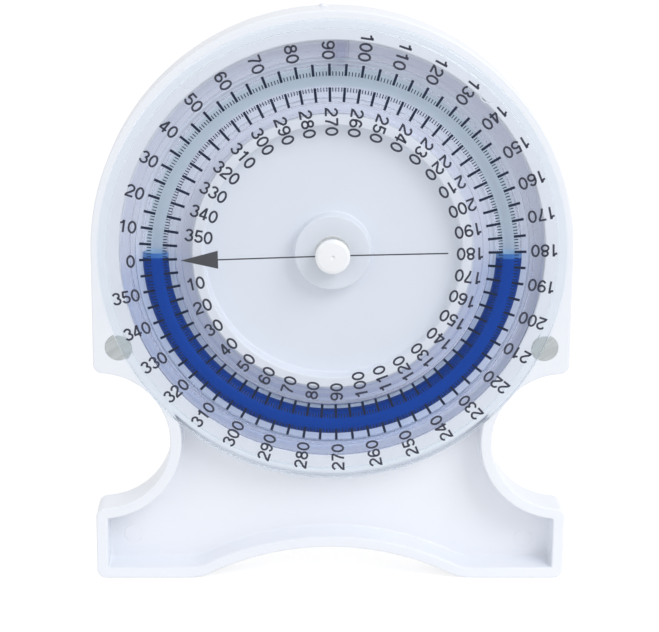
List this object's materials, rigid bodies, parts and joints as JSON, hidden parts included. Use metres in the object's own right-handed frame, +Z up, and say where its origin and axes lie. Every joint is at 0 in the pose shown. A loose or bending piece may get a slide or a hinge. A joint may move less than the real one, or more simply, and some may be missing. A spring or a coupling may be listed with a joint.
{
  "type": "bubble inclinometer",
  "caption": "Bubble inclinometer: clear degree dial with a ring of blue liquid, turning on a white footed case.",
  "frame": {"origin": "on the ground under the middle of the case, at the centre of the overall depth", "axes": "+X to the right seen from the dial side, +Y to the back, +Z up; the dial faces -Y"},
  "size_m": [0.1016, 0.0146, 0.1248],
  "materials": {
    "case_plastic": "smooth white moulded plastic, satin gloss",
    "cap_plastic": "polished white moulded plastic",
    "clear_plastic": "clear moulded plastic, polished",
    "blue_liquid": "dyed blue liquid",
    "plug_plastic": "soft plastic plug, tinted by the liquid",
    "pin_steel": "ground grey steel pin end",
    "screw_steel": "plated screw and spring steel",
    "bush_nylon": "natural nylon, dull"
  },
  "bodies": {
    "case": {"body_shell": "case_plastic", "glide_pin_left": "pin_steel", "glide_pin_right": "pin_steel", "hub_bush": "bush_nylon", "pivot_screw": "screw_steel", "wave_washer": "screw_steel", "thrust_washer": "bush_nylon", "hub_cap": "cap_plastic"},
    "dial": {"dial_face": "clear_plastic", "channel_ring": "clear_plastic", "fill_plug": "plug_plastic"},
    "fluid": {"blue_fluid": "blue_liquid"}
  },
  "joints": [
    {"name": "dial_turn", "type": "hinge", "parent": "case", "child": "dial", "pos_m": [0, 0, 0.07345], "axis": [0, 1, 0], "continuous": true},
    {"name": "fluid_level", "type": "hinge", "parent": "case", "child": "fluid", "pos_m": [0, 0, 0.07345], "axis": [0, 1, 0], "continuous": true}
  ]
}
